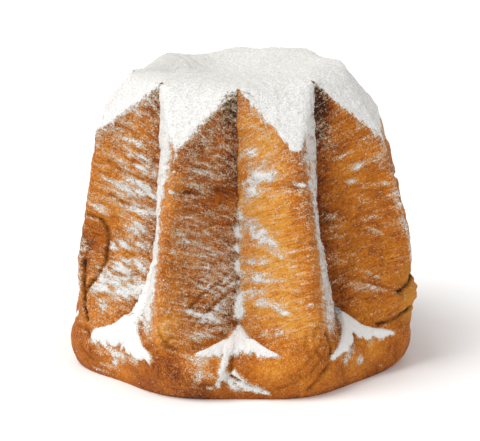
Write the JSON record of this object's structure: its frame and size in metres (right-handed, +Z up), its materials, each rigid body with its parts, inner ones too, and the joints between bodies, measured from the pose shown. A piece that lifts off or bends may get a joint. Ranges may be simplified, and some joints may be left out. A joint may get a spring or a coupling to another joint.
{
  "type": "pandoro",
  "caption": "Tall star-shaped sweet bread: eight ridges lean in from a swollen foot to an octagonal crown dusted with icing sugar.",
  "frame": {"origin": "middle of the flat base, on the table", "axes": "+Z up from the base to the crown; -Y is the front, where one valley faces the viewer; +X is to the viewer's right"},
  "size_m": [0.2179, 0.2171, 0.1882],
  "materials": {
    "golden_crust": "soft golden-brown baked crust, finely pored and wrinkled, with yellow-gold patches; matte",
    "icing_sugar": "fine white powdered sugar, dry and matte, thick on the crown and facets and thin in streaks on the sides"
  },
  "bodies": {
    "root": {"pandoro": "golden_crust"}
  },
  "joints": []
}
